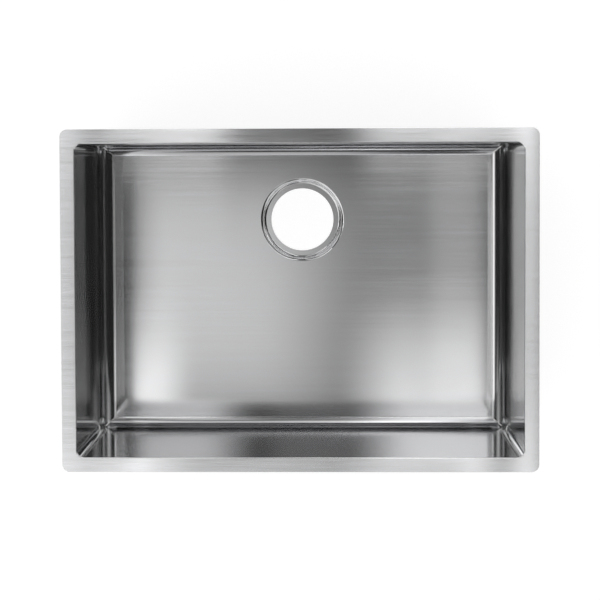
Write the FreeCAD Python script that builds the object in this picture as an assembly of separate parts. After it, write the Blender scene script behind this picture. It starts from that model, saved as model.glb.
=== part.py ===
import FreeCAD, Part
import math
import os

# Undermount kitchen sink with one bowl, made of stainless sheet, in millimetres.
# The origin is the centre of the flange's top face. +Z is up, +X is to the right and +Y is
# to the rear, where the drain is.

# Sheet metal
sheet = 1.5                     # thickness of the bowl's and the flange's sheet

# Flange
flange_length = 635.0           # outside size along X
flange_width = 457.0            # outside size along Y
flange_reach = 19.5             # from the bowl's opening out to the flange's edge
flange_corner_radius = 10.0     # outside corners, seen from above
flange_edge_radius = 0.3        # eased outer edges
rim_edge_radius = 1.2           # eased edge around the opening

# Bowl, inside sizes
bowl_depth = 229.0              # from the flange's top face to the flat floor
bowl_corner_radius = 10.0       # upright corners
end_cove_radius = 20.0          # between the floor and the left and right ends
wall_cove_radius = 15.0         # between the floor and the front and rear walls

# Drain
drain_setback = 110.0           # from the rear wall's inner face to the drain's axis
drain_hole_radius = 46.0
drain_ledge_radius = 53.5       # outer edge of the flat ledge that a strainer's rim seats on
drain_recess_radius = 61.5      # where the recess starts to dip from the floor
drain_recess_depth = 5.0

# Sound pads
floor_pad_thickness = 3.0
wall_pad_thickness = 3.0
pad_corner_radius = 8.0
floor_pad_margin = 22.0         # from the flat floor's edge to the pads
floor_pad_gap = 12.0            # between neighbouring pads under the floor
drain_pad_clearance = 14.0      # from the recess to the pads
wall_pad_height = 110.0
wall_pad_drop = 55.0            # from the flange's top face to the wall pads
wall_pad_end_margin = 90.0      # from the bowl's inner corner to the wall pad's end

# Sprayed undercoat on the bowl's hidden faces
coat_thickness = 0.8
coat_drop = 16.0                # from the flange's top face to the coat's upper edge
coat_drain_margin = 4.0         # bare ring around the recess, for the strainer's nut

# Clips under the flange
clip_end_setback = 107.5        # from the flange's end to the outer clips along the front and the rear
clip_width = 15.0
clip_thickness = 2.0
clip_reach = 34.0               # from the pivot to the screw hole
clip_screw_hole_radius = 3.0
shoulder_radius = 3.0           # the stud's plain part, which the clip turns on
pivot_clearance = 0.06          # radial, between the shoulder and the clip
clip_play = 0.15                # above and below the clip
stud_base_radius = 5.0
stud_base_height = 1.2
stud_thread_radius = 2.5
stud_tip_length = 2.0           # thread that stands out below the nut
stud_tip_chamfer = 0.6
thread_clearance = 0.05         # radial, between the thread and the washer and nut
washer_radius = 6.0
washer_thickness = 1.0
nut_across_flats = 8.0
nut_height = 4.0

# Places that follow from the sizes above
opening_length = flange_length - 2 * flange_reach
opening_width = flange_width - 2 * flange_reach
half_length = opening_length / 2
half_width = opening_width / 2
floor_half_length = half_length - end_cove_radius
floor_half_width = half_width - wall_cove_radius
floor_bottom = -bowl_depth - sheet
drain_y = half_width - drain_setback
stud_inset = (flange_reach - sheet) / 2
clip_spacing = flange_length / 2 - clip_end_setback
clip_top = -sheet - stud_base_height - clip_play
shoulder_bottom = clip_top - clip_thickness - clip_play
washer_bottom = shoulder_bottom - washer_thickness
nut_bottom = washer_bottom - nut_height
stud_bottom = nut_bottom - stud_tip_length
cut_margin = 5.0                # how far a cutting block runs past what it cuts

UP = FreeCAD.Vector(0, 0, 1)
ORIGIN = FreeCAD.Vector(0, 0, 0)


def block(x_range, y_range, z_range):
    """Return a box between the given limits."""
    corner = FreeCAD.Vector(x_range[0], y_range[0], z_range[0])
    return Part.makeBox(x_range[1] - x_range[0], y_range[1] - y_range[0], z_range[1] - z_range[0], corner)


def cylinder(radius, top, bottom):
    """Return an upright cylinder on the Z axis."""
    return Part.makeCylinder(radius, top - bottom, FreeCAD.Vector(0, 0, bottom))


def edges_along(shape, direction, keep=None):
    """Return the shape's straight edges along a direction, or those of them that keep() accepts."""
    found = []
    for edge in shape.Edges:
        start, end = edge.Vertexes[0].Point, edge.Vertexes[-1].Point
        run = end - start
        parallel = run.Length > 0 and run.cross(direction).Length < 1e-6 * run.Length
        if parallel and (keep is None or keep(start)):
            found.append(edge)
    return found


def rounded_block(x_range, y_range, z_range, radius, direction=UP):
    """Return a box whose edges along one direction are rounded."""
    box = block(x_range, y_range, z_range)
    return box.makeFillet(radius, edges_along(box, direction))


def bottom_rounded(box, direction, radius):
    """Return a box whose two bottom edges along a direction are rounded."""
    middle = box.BoundBox.Center.z
    low_edges = edges_along(box, direction, lambda point: point.z < middle)
    return box.makeFillet(radius, low_edges)


def end_channel(offset, top):
    """Return the channel that the left and right ends and their coves enclose, grown by offset."""
    x_limit = half_length + offset
    y_limit = half_width + offset + cut_margin
    box = block((-x_limit, x_limit), (-y_limit, y_limit), (-bowl_depth - offset, top))
    return bottom_rounded(box, FreeCAD.Vector(0, 1, 0), end_cove_radius + offset)


def wall_channel(offset, top):
    """Return the channel that the front and rear walls and their coves enclose, grown by offset."""
    x_limit = half_length + offset + cut_margin
    y_limit = half_width + offset
    box = block((-x_limit, x_limit), (-y_limit, y_limit), (-bowl_depth - offset, top))
    return bottom_rounded(box, FreeCAD.Vector(1, 0, 0), wall_cove_radius + offset)


def corner_column(offset, top):
    """Return the upright block with the bowl's rounded plan, grown by offset."""
    x_limit = half_length + offset
    y_limit = half_width + offset
    z_range = (-bowl_depth - offset - cut_margin, top)
    return rounded_block((-x_limit, x_limit), (-y_limit, y_limit), z_range, bowl_corner_radius + offset)


def bowl_block(offset, top):
    """Return the bowl's inside as a solid, grown by offset; the coves meet in mitres."""
    return end_channel(offset, top).common(wall_channel(offset, top)).common(corner_column(offset, top))


BOWL_OUTSIDE = bowl_block(sheet, -sheet)
BOWL_SHELL = BOWL_OUTSIDE.cut(bowl_block(0, cut_margin))


def rim_flange():
    """Return the flat ring around the opening, with its outer edges and its inner top edge eased."""
    x_out, y_out = flange_length / 2, flange_width / 2
    plate = rounded_block((-x_out, x_out), (-y_out, y_out), (-sheet, 0), flange_corner_radius)
    level_edges = [edge for edge in plate.Edges if edge.BoundBox.ZLength < sheet / 2]
    ring = plate.makeFillet(flange_edge_radius, level_edges).cut(corner_column(0, cut_margin))
    opening_edges = []
    for edge in ring.Edges:
        box = edge.BoundBox
        on_top = box.ZMin > -sheet / 2
        at_opening = max(-box.XMin, box.XMax) < x_out - flange_reach / 2
        at_opening = at_opening and max(-box.YMin, box.YMax) < y_out - flange_reach / 2
        if on_top and at_opening:
            opening_edges.append(edge)
    return ring.makeFillet(rim_edge_radius, opening_edges)


def drain_recess_profile():
    """Return the recess's section as a face in the XZ plane, measured from the drain's axis."""
    run = drain_recess_radius - drain_ledge_radius
    slope = 2 * math.atan(drain_recess_depth / run)
    bend = run / (2 * math.sin(slope))
    floor_z = -bowl_depth
    ledge_z = floor_z - drain_recess_depth
    outer_centre = FreeCAD.Vector(drain_recess_radius, 0, floor_z - bend)
    inner_centre = FreeCAD.Vector(drain_ledge_radius, 0, ledge_z + bend)

    def outer_arc(radius):
        return arc_points(outer_centre, radius, math.pi / 2, math.pi / 2 + slope)

    def inner_arc(radius):
        return arc_points(inner_centre, radius, -math.pi / 2, -math.pi / 2 + slope)

    top_outer, top_inner = outer_arc(bend), inner_arc(bend)
    low_outer, low_inner = outer_arc(bend - sheet), inner_arc(bend + sheet)
    hole_top = FreeCAD.Vector(drain_hole_radius, 0, ledge_z)
    hole_low = FreeCAD.Vector(drain_hole_radius, 0, ledge_z - sheet)
    edges = [
        Part.Arc(*top_outer).toShape(),
        Part.Arc(*top_inner).toShape(),
        Part.makeLine(top_inner[0], hole_top),
        Part.makeLine(hole_top, hole_low),
        Part.makeLine(hole_low, low_inner[0]),
        Part.Arc(*low_inner).toShape(),
        Part.Arc(*low_outer).toShape(),
        Part.makeLine(low_outer[0], top_outer[0]),
    ]
    return Part.Face(Part.Wire(Part.__sortEdges__(edges)))


def arc_points(centre, radius, start, end):
    """Return the first, middle and last point of an arc in the XZ plane."""
    points = []
    for angle in (start, (start + end) / 2, end):
        step = FreeCAD.Vector(radius * math.cos(angle), 0, radius * math.sin(angle))
        points.append(centre + step)
    return points


def floor_pan():
    """Return the flat floor between the coves, with the drain's recess and hole pressed in it."""
    x_range = (-floor_half_length, floor_half_length)
    y_range = (-floor_half_width, floor_half_width)
    plate = block(x_range, y_range, (floor_bottom, -bowl_depth))
    opening = cylinder(drain_recess_radius, -bowl_depth + cut_margin, floor_bottom - cut_margin)
    opening.translate(FreeCAD.Vector(0, drain_y, 0))
    recess = drain_recess_profile().revolve(ORIGIN, UP, 360)
    recess.translate(FreeCAD.Vector(0, drain_y, 0))
    return plate.cut(opening).fuse(recess).removeSplitter()


def end_panel(side):
    """Return the left (side -1) or right (side 1) end with its cove, between the corner strips."""
    folded = BOWL_OUTSIDE.cut(end_channel(0, cut_margin))
    x_range = sorted((side * floor_half_length, side * (half_length + sheet + cut_margin)))
    y_limit = half_width - bowl_corner_radius
    return folded.common(block(x_range, (-y_limit, y_limit), (floor_bottom - cut_margin, 0)))


def wall_panel(side):
    """Return the front (side -1) or rear (side 1) wall with its cove, between the corner strips."""
    y_range = sorted((side * floor_half_width, side * (half_width + sheet + cut_margin)))
    z_range = (floor_bottom - cut_margin, 0)
    x_limit = half_length - bowl_corner_radius
    beside_floor = block((-floor_half_length, floor_half_length), y_range, z_range)
    above_end_coves = end_channel(0, cut_margin).common(block((-x_limit, x_limit), y_range, z_range))
    return BOWL_SHELL.common(beside_floor.fuse(above_end_coves)).removeSplitter()


def corner_strip(x_side, y_side):
    """Return the rolled strip of one upright corner."""
    x_edge, y_edge = half_length - bowl_corner_radius, half_width - bowl_corner_radius
    x_range = sorted((x_side * x_edge, x_side * (half_length + sheet + cut_margin)))
    y_range = sorted((y_side * y_edge, y_side * (half_width + sheet + cut_margin)))
    return BOWL_SHELL.common(block(x_range, y_range, (floor_bottom - cut_margin, 0)))


def floor_pad(x_range, y_range):
    """Return one rubber pad under the floor."""
    z_range = (floor_bottom - floor_pad_thickness, floor_bottom)
    return rounded_block(x_range, y_range, z_range, pad_corner_radius)


def floor_pads():
    """Return the three pads under the floor: one each side of the drain and one before it."""
    clear_of_drain = drain_recess_radius + drain_pad_clearance
    x_outer = floor_half_length - floor_pad_margin
    y_outer = floor_half_width - floor_pad_margin
    y_front_limit = drain_y - clear_of_drain
    return {
        "floor_pad_left": floor_pad((-x_outer, -clear_of_drain), (-y_outer, y_outer)),
        "floor_pad_right": floor_pad((clear_of_drain, x_outer), (-y_outer, y_outer)),
        "floor_pad_front": floor_pad(
            (-clear_of_drain + floor_pad_gap, clear_of_drain - floor_pad_gap), (-y_outer, y_front_limit)
        ),
    }


def wall_pad(x_range, y_range, across):
    """Return one rubber pad on a wall, rounded about the direction across it."""
    z_range = (-wall_pad_drop - wall_pad_height, -wall_pad_drop)
    return rounded_block(x_range, y_range, z_range, pad_corner_radius, across)


def wall_pads():
    """Return the four pads on the outer faces of the walls and ends."""
    x_limit = half_length - wall_pad_end_margin
    y_limit = half_width - wall_pad_end_margin
    x_face, y_face = half_length + sheet, half_width + sheet
    pads = {}
    for name, side in (("front", -1), ("rear", 1)):
        y_range = sorted((side * y_face, side * (y_face + wall_pad_thickness)))
        pads["wall_pad_" + name] = wall_pad((-x_limit, x_limit), y_range, FreeCAD.Vector(0, 1, 0))
    for name, side in (("left", -1), ("right", 1)):
        x_range = sorted((side * x_face, side * (x_face + wall_pad_thickness)))
        pads["wall_pad_" + name] = wall_pad(x_range, (-y_limit, y_limit), FreeCAD.Vector(1, 0, 0))
    return pads


def undercoat(pads):
    """Return the coat on the bowl's outside, which leaves the pads and the drain's recess bare."""
    coat = bowl_block(sheet + coat_thickness, -coat_drop).cut(BOWL_OUTSIDE)
    around_drain = cylinder(drain_recess_radius + coat_drain_margin, -bowl_depth, floor_bottom - cut_margin)
    around_drain.translate(FreeCAD.Vector(0, drain_y, 0))
    coat = coat.cut(around_drain)
    for pad in pads.values():
        coat = coat.cut(pad)
    return coat


def clip_stations():
    """Return each clip's name, its pivot's x and y, and the turn of its outward side from +Y."""
    x_line = flange_length / 2 - stud_inset
    y_line = flange_width / 2 - stud_inset
    stations = []
    for place, step in (("left", -1), ("middle", 0), ("right", 1)):
        stations.append(("clip_front_" + place, step * clip_spacing, -y_line, 180))
        stations.append(("clip_rear_" + place, step * clip_spacing, y_line, 0))
    stations.append(("clip_left", -x_line, 0, 90))
    stations.append(("clip_right", x_line, 0, -90))
    return stations


def placed(shape, station):
    """Return a copy of a clip part, turned and moved to its station."""
    _, x, y, turn = station
    copy = shape.copy()
    copy.rotate(ORIGIN, UP, turn)
    copy.translate(FreeCAD.Vector(x, y, 0))
    return copy


def stud():
    """Return one weld stud: base, plain shoulder for the clip and thread for the nut."""
    base = cylinder(stud_base_radius, -sheet, -sheet - stud_base_height)
    shoulder = cylinder(shoulder_radius, -sheet - stud_base_height, shoulder_bottom)
    thread = cylinder(stud_thread_radius, shoulder_bottom, stud_bottom)
    whole = base.fuse(shoulder).fuse(thread)
    tip = [edge for edge in whole.Edges if edge.BoundBox.ZMax < stud_bottom + stud_tip_length / 2]
    return whole.makeChamfer(stud_tip_chamfer, tip)


def clip():
    """Return one clip at rest: a flat strap along +X from its pivot, with a screw hole near its tip."""
    clip_bottom = clip_top - clip_thickness
    end_radius = clip_width / 2
    to_tip = FreeCAD.Vector(clip_reach, 0, 0)
    middle = block((0, clip_reach), (-end_radius, end_radius), (clip_bottom, clip_top))
    pivot_end = cylinder(end_radius, clip_top, clip_bottom)
    screw_end = pivot_end.copy()
    screw_end.translate(to_tip)
    strap = middle.fuse(pivot_end).fuse(screw_end).removeSplitter()
    hole_top, hole_bottom = clip_top + cut_margin, clip_bottom - cut_margin
    pivot_hole = cylinder(shoulder_radius + pivot_clearance, hole_top, hole_bottom)
    screw_hole = cylinder(clip_screw_hole_radius, hole_top, hole_bottom)
    screw_hole.translate(to_tip)
    return strap.cut(pivot_hole).cut(screw_hole)


def washer():
    """Return one washer, tight against the stud's shoulder."""
    disc = cylinder(washer_radius, shoulder_bottom, washer_bottom)
    return disc.cut(cylinder(stud_thread_radius + thread_clearance, 0, stud_bottom))


def nut():
    """Return one hexagon nut, tight under the washer."""
    corner_radius = nut_across_flats / 2 / math.cos(math.pi / 6)
    corners = []
    for step in range(7):
        angle = step * math.pi / 3
        corners.append(
            FreeCAD.Vector(corner_radius * math.cos(angle), corner_radius * math.sin(angle), nut_bottom)
        )
    hexagon = Part.Face(Part.makePolygon(corners)).extrude(UP * nut_height)
    return hexagon.cut(cylinder(stud_thread_radius + thread_clearance, 0, stud_bottom))


def build_parts():
    """Return every node's name and shape."""
    parts = {
        "rim_flange": rim_flange(),
        "floor_pan": floor_pan(),
        "left_end": end_panel(-1),
        "right_end": end_panel(1),
        "front_wall": wall_panel(-1),
        "rear_wall": wall_panel(1),
    }
    for y_name, y_side in (("front", -1), ("rear", 1)):
        for x_name, x_side in (("left", -1), ("right", 1)):
            parts["corner_" + y_name + "_" + x_name] = corner_strip(x_side, y_side)
    pads = {**floor_pads(), **wall_pads()}
    parts.update(pads)
    parts["undercoat"] = undercoat(pads)
    stations = clip_stations()
    for station in stations:
        parts[station[0]] = placed(clip(), station)
    for name, make in (("clip_studs", stud), ("clip_washers", washer), ("clip_nuts", nut)):
        parts[name] = Part.makeCompound([placed(make(), station) for station in stations])
    return parts


os.makedirs("parts", exist_ok=True)
for node_name, node_shape in build_parts().items():
    solid_count = len(node_shape.Solids)
    print(f"{node_name}: {solid_count} solid(s), {node_shape.Volume / 1000:.2f} cm3")
    node_shape.exportStep(f"parts/{node_name}.step")
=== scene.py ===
"""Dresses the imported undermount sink: steel, coat, pads and clips, with a plain studio around it."""
import logging
import math
from collections.abc import Callable
from dataclasses import dataclass
from enum import Enum
from functools import partial

import bmesh
import bpy
from mathutils import Euler, Matrix, Vector


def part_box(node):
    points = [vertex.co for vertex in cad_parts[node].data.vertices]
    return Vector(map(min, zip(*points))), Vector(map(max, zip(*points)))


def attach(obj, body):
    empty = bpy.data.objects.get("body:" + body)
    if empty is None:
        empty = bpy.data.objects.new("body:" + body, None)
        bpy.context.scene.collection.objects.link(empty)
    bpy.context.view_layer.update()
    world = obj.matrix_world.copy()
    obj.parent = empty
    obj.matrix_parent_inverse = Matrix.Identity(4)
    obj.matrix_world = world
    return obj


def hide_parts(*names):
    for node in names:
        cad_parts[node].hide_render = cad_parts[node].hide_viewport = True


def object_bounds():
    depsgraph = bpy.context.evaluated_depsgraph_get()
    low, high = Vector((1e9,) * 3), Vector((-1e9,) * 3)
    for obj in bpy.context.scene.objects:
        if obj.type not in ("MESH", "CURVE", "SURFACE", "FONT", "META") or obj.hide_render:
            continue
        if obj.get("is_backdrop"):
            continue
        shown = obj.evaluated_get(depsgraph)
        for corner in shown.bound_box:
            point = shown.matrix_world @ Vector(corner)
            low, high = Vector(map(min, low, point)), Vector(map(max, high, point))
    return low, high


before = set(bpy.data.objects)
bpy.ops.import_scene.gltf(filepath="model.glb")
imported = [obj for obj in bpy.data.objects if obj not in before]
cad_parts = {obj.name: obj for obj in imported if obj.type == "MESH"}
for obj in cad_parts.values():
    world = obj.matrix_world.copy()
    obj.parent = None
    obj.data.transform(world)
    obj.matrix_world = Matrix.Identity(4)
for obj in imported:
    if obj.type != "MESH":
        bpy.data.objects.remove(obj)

LOG = logging.getLogger("sink")
SINK_BODY = "sink"
MM = 0.001
SAME_PLACE = 1e-7

Triple = tuple[float, float, float]
Colour = tuple[float, float, float]
Ends = tuple[float, float, float, float]
Place = Callable[[float], Vector]
Socket = bpy.types.NodeSocket


class Grain(Enum):
    """The axis that a sheet's brushing runs along. Its streaks are stretched that way."""

    ALONG = (1.0, 0.0, 0.0)
    ACROSS = (0.0, 1.0, 0.0)
    UPRIGHT = (0.0, 0.0, 1.0)


class Station(Enum):
    """The side of the flange that a clip hangs from, with the way it points at rest."""

    FRONT = (-1.0, 0.0)
    REAR = (1.0, 0.0)
    LEFT = (0.0, 1.0)
    RIGHT = (0.0, -1.0)


CLIPS = {
    "clip_front_left": Station.FRONT,
    "clip_front_middle": Station.FRONT,
    "clip_front_right": Station.FRONT,
    "clip_rear_left": Station.REAR,
    "clip_rear_middle": Station.REAR,
    "clip_rear_right": Station.REAR,
    "clip_left": Station.LEFT,
    "clip_right": Station.RIGHT,
}

PAD_FACES = {
    "floor_pad_left": (0.0, 0.0, -1.0),
    "floor_pad_right": (0.0, 0.0, -1.0),
    "floor_pad_front": (0.0, 0.0, -1.0),
    "wall_pad_front": (0.0, -1.0, 0.0),
    "wall_pad_rear": (0.0, 1.0, 0.0),
    "wall_pad_left": (-1.0, 0.0, 0.0),
    "wall_pad_right": (1.0, 0.0, 0.0),
}


class NodeBoard:
    """A material's or a world's node tree, with short ways to add and join nodes."""

    def __init__(self, tree: bpy.types.NodeTree) -> None:
        """Takes a node tree and empties it."""
        self.tree = tree
        self.tree.nodes.clear()

    def add(self, kind: str, **settings: object) -> bpy.types.Node:
        """Adds one node.

        Args:
            kind: Blender's name for the node's type.
            **settings: Properties of the node.

        Returns:
            The new node.
        """
        node = self.tree.nodes.new(kind)
        for key, value in settings.items():
            setattr(node, key, value)
        return node

    def join(self, output: Socket, target: Socket) -> None:
        """Joins an output to an input."""
        self.tree.links.new(output, target)

    def feed(self, value: object, target: Socket) -> None:
        """Joins a socket to an input, or sets the input to a number.

        Args:
            value: A socket, a number or nothing.
            target: The input.
        """
        if isinstance(value, Socket):
            self.join(value, target)
        elif value is not None:
            target.default_value = value

    def math(self, operation: str, first: object, second: object = None) -> Socket:
        """Adds a Math node.

        Args:
            operation: The node's operation.
            first: A socket or a number.
            second: A socket, a number or nothing.

        Returns:
            The node's output.
        """
        node = self.add("ShaderNodeMath", operation=operation)
        for socket, value in zip(node.inputs, (first, second)):
            self.feed(value, socket)
        return node.outputs[0]

    def noise(self, scale: float | Triple, detail: float = 2.0, roughness: float = 0.5) -> Socket:
        """Adds noise in object coordinates, which may be stretched along an axis.

        Args:
            scale: How many features there are in a metre, all ways or along each axis.
            detail: The noise's detail.
            roughness: The noise's roughness.

        Returns:
            The noise's grey value, from 0 to 1.
        """
        mapping = self.add("ShaderNodeMapping")
        mapping.inputs["Scale"].default_value = scale if isinstance(scale, tuple) else (scale,) * 3
        self.join(self.add("ShaderNodeTexCoord").outputs["Object"], mapping.inputs["Vector"])
        texture = self.add("ShaderNodeTexNoise")
        texture.inputs["Scale"].default_value = 1.0
        texture.inputs["Detail"].default_value = detail
        texture.inputs["Roughness"].default_value = roughness
        self.join(mapping.outputs["Vector"], texture.inputs["Vector"])
        return texture.outputs["Fac"]

    def spread(self, value: Socket, low: float, high: float,
               reach: tuple[float, float] = (0.3, 0.7)) -> Socket:
        """Maps a part of a value's range to the range between two numbers.

        Args:
            value: A grey value.
            low: The result at the lower end.
            high: The result at the upper end.
            reach: The lower and the upper end.

        Returns:
            The mapped value.
        """
        node = self.add("ShaderNodeMapRange", clamp=True)
        node.inputs["From Min"].default_value, node.inputs["From Max"].default_value = reach
        node.inputs["To Min"].default_value = low
        node.inputs["To Max"].default_value = high
        self.join(value, node.inputs["Value"])
        return node.outputs["Result"]

    def tones(self, factor: Socket, dark: Colour | Socket, light: Colour) -> Socket:
        """Mixes two colours.

        Args:
            factor: How much of the second colour there is, from 0 to 1.
            dark: The first colour, or the socket that gives it.
            light: The second colour.

        Returns:
            The mixed colour.
        """
        mix = self.add("ShaderNodeMix", data_type="RGBA")
        colours = [socket for socket in mix.inputs if socket.type == "RGBA"]
        self.feed(dark + (1.0,) if isinstance(dark, tuple) else dark, colours[0])
        colours[1].default_value = light + (1.0,)
        self.join(factor, mix.inputs["Factor"])
        return [socket for socket in mix.outputs if socket.type == "RGBA"][0]

    def bump(self, height: Socket, depth: float, under: Socket | None = None) -> Socket:
        """Adds relief.

        Args:
            height: The relief's height, from 0 to 1.
            depth: The relief's depth in metres.
            under: A coarser relief's normal, which this one is added to.

        Returns:
            The surface's normal.
        """
        node = self.add("ShaderNodeBump")
        node.inputs["Strength"].default_value = 1.0
        node.inputs["Distance"].default_value = depth
        self.join(height, node.inputs["Height"])
        if under is not None:
            self.join(under, node.inputs["Normal"])
        return node.outputs["Normal"]


@dataclass(frozen=True)
class Finish:
    """A surface's finish. Each kind fills its own shader."""

    name: str

    def fill(self, board: NodeBoard, shader: bpy.types.Node) -> None:
        """Sets the shader's inputs."""
        raise NotImplementedError

    def build(self) -> bpy.types.Material:
        """Builds the material, once for each name.

        Returns:
            The material.
        """
        made = bpy.data.materials.get(self.name)
        if made is not None:
            return made
        material = bpy.data.materials.new(self.name)
        material.use_nodes = True
        board = NodeBoard(material.node_tree)
        output = board.add("ShaderNodeOutputMaterial")
        shader = board.add("ShaderNodeBsdfPrincipled")
        board.join(shader.outputs[0], output.inputs["Surface"])
        self.fill(board, shader)
        return material


@dataclass(frozen=True)
class BrushedSteel(Finish):
    """Stainless sheet with a brushed finish whose grain runs one way."""

    grain: Grain = Grain.ALONG
    dark: Colour = (0.585, 0.582, 0.578)
    light: Colour = (0.645, 0.652, 0.68)
    roughness: float = 0.075
    roughness_spread: float = 0.015
    anisotropy: float = 1.0
    streak_length: float = 0.2
    streak_width: float = 1.3 * MM
    groove_depth: float = 0.0011 * MM
    bow_depth: float = 0.13 * MM
    bow_size: float = 0.17
    fine_share: float = 0.65
    smears_a_metre: float = 9.0
    smear_spread: float = 0.005

    def streak_scale(self, length: float, width: float) -> Triple:
        """Gives the noise scale, along each axis, for streaks of a length and a width in metres."""
        return tuple(1.0 / (length if along else width) for along in self.grain.value)

    def across_grain(self, board: NodeBoard) -> Socket:
        """Gives the direction across the grain, in the surface, along which the shine is drawn out.

        Args:
            board: The material's nodes.

        Returns:
            The direction.
        """
        cross = board.add("ShaderNodeVectorMath", operation="CROSS_PRODUCT")
        board.join(board.add("ShaderNodeNewGeometry").outputs["True Normal"], cross.inputs[0])
        cross.inputs[1].default_value = self.grain.value
        return cross.outputs[0]

    def fill(self, board: NodeBoard, shader: bpy.types.Node) -> None:
        """Sets the shader's inputs.

        Args:
            board: The material's nodes.
            shader: The Principled shader.
        """
        shader.inputs["Metallic"].default_value = 1.0
        shader.inputs["Anisotropic"].default_value = self.anisotropy
        board.join(self.across_grain(board), shader.inputs["Tangent"])
        fine = board.noise(self.streak_scale(self.streak_length, self.streak_width), 3.0, 0.6)
        broad = board.noise(self.streak_scale(self.streak_length * 2, self.streak_width * 9))
        grooves = board.noise(self.streak_scale(self.streak_length, self.streak_width * 2), 1.0)
        smear = board.noise(self.smears_a_metre, 3.0, 0.55)
        streaks = board.math("ADD", board.math("MULTIPLY", fine, self.fine_share),
                             board.math("MULTIPLY", broad, 1.0 - self.fine_share))
        low, high = self.roughness - self.roughness_spread, self.roughness + self.roughness_spread
        rough = board.math("ADD", board.spread(streaks, low, high),
                           board.spread(smear, -self.smear_spread, self.smear_spread))
        board.join(rough, shader.inputs["Roughness"])
        tone = board.tones(board.spread(streaks, 0.0, 1.0), self.dark, self.light)
        board.join(tone, shader.inputs["Base Color"])
        bow = board.bump(board.noise(1.0 / self.bow_size, 1.0, 0.4), self.bow_depth)
        board.join(board.bump(grooves, self.groove_depth, bow), shader.inputs["Normal"])


@dataclass(frozen=True)
class EdgedSteel(BrushedSteel):
    """Brushed sheet with a painted highlight: where the surface turns upright, on its rounded edges, the
    colour is painted near white.
    """

    # Colour of the painted highlight, and the range of the normal's upward part over which it fades in.
    painted_highlight_tone: Colour = (0.95, 0.95, 0.955)
    painted_highlight_reach: tuple[float, float] = (0.9, 0.998)

    def fill(self, board: NodeBoard, shader: bpy.types.Node) -> None:
        """Sets the shader's inputs.

        Args:
            board: The material's nodes.
            shader: The Principled shader.
        """
        super().fill(board, shader)
        # Painted highlight: the colour fades to near white as the true normal leans from upright, so rounded
        # edges show a bright line.
        facing = board.add("ShaderNodeSeparateXYZ")
        board.join(board.add("ShaderNodeNewGeometry").outputs["True Normal"], facing.inputs[0])
        edge = board.spread(board.math("ABSOLUTE", facing.outputs["Z"]), 1.0, 0.0, self.painted_highlight_reach)
        plain = shader.inputs["Base Color"].links[0].from_socket
        board.join(board.tones(edge, plain, self.painted_highlight_tone), shader.inputs["Base Color"])


@dataclass(frozen=True)
class PlatedSteel(Finish):
    """Bright zinc-plated small parts, with a faint mottle and rubbed patches."""

    dark: Colour = (0.52, 0.525, 0.52)
    light: Colour = (0.7, 0.695, 0.67)
    roughness: float = 0.3
    mottle_size: float = 2.2 * MM
    mottle_depth: float = 0.02 * MM
    roughness_reach: tuple[float, float] = (-0.07, 0.12)
    patches_a_metre: float = 90.0

    def fill(self, board: NodeBoard, shader: bpy.types.Node) -> None:
        """Sets the shader's inputs.

        Args:
            board: The material's nodes.
            shader: The Principled shader.
        """
        shader.inputs["Metallic"].default_value = 1.0
        mottle = board.noise(1.0 / self.mottle_size, 3.0, 0.6)
        patches = board.noise(self.patches_a_metre, 2.0, 0.5)
        tone = board.tones(board.spread(patches, 0.0, 1.0), self.dark, self.light)
        board.join(tone, shader.inputs["Base Color"])
        low, high = (self.roughness + reach for reach in self.roughness_reach)
        board.join(board.spread(mottle, low, high), shader.inputs["Roughness"])
        board.join(board.bump(mottle, self.mottle_depth), shader.inputs["Normal"])


@dataclass(frozen=True)
class MouldedRubber(Finish):
    """Heavy dark rubber with a fine moulded grain and a dusty bloom."""

    dark: Colour = (0.028, 0.028, 0.03)
    light: Colour = (0.062, 0.062, 0.064)
    grain_size: float = 0.9 * MM
    grain_depth: float = 0.08 * MM
    blooms_a_metre: float = 14.0

    def fill(self, board: NodeBoard, shader: bpy.types.Node) -> None:
        """Sets the shader's inputs.

        Args:
            board: The material's nodes.
            shader: The Principled shader.
        """
        bloom = board.noise(self.blooms_a_metre, 4.0, 0.6)
        grain = board.noise(1.0 / self.grain_size, 2.0, 0.6)
        tone = board.tones(board.spread(bloom, 0.0, 1.0), self.dark, self.light)
        board.join(tone, shader.inputs["Base Color"])
        board.join(board.spread(bloom, 0.55, 0.78), shader.inputs["Roughness"])
        shader.inputs["Specular IOR Level"].default_value = 0.4
        board.join(board.bump(grain, self.grain_depth), shader.inputs["Normal"])


@dataclass(frozen=True)
class SprayedCoat(Finish):
    """Thick grey coat, sprayed on: pebbled, with coarser drops over a fine mist."""

    dark: Colour = (0.19, 0.193, 0.197)
    light: Colour = (0.285, 0.288, 0.29)
    drop_size: float = 3.2 * MM
    drop_depth: float = 0.55 * MM
    mist_size: float = 1.1 * MM
    mist_depth: float = 0.16 * MM
    clouds_a_metre: float = 7.0
    cloud_share: float = 0.6

    def fill(self, board: NodeBoard, shader: bpy.types.Node) -> None:
        """Sets the shader's inputs.

        Args:
            board: The material's nodes.
            shader: The Principled shader.
        """
        cloud = board.noise(self.clouds_a_metre, 4.0, 0.6)
        drops = board.noise(1.0 / self.drop_size, 2.0, 0.5)
        mist = board.noise(1.0 / self.mist_size, 2.0, 0.6)
        tone = board.math("ADD", board.math("MULTIPLY", cloud, self.cloud_share),
                          board.math("MULTIPLY", drops, 1.0 - self.cloud_share))
        board.join(board.tones(board.spread(tone, 0.0, 1.0, (0.35, 0.65)), self.dark, self.light),
                   shader.inputs["Base Color"])
        board.join(board.spread(drops, 0.62, 0.88), shader.inputs["Roughness"])
        shader.inputs["Specular IOR Level"].default_value = 0.35
        relief = board.bump(drops, self.drop_depth)
        board.join(board.bump(mist, self.mist_depth, relief), shader.inputs["Normal"])


# The floor's rounded edges, round the drain, carry EdgedSteel's painted highlight.
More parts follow.
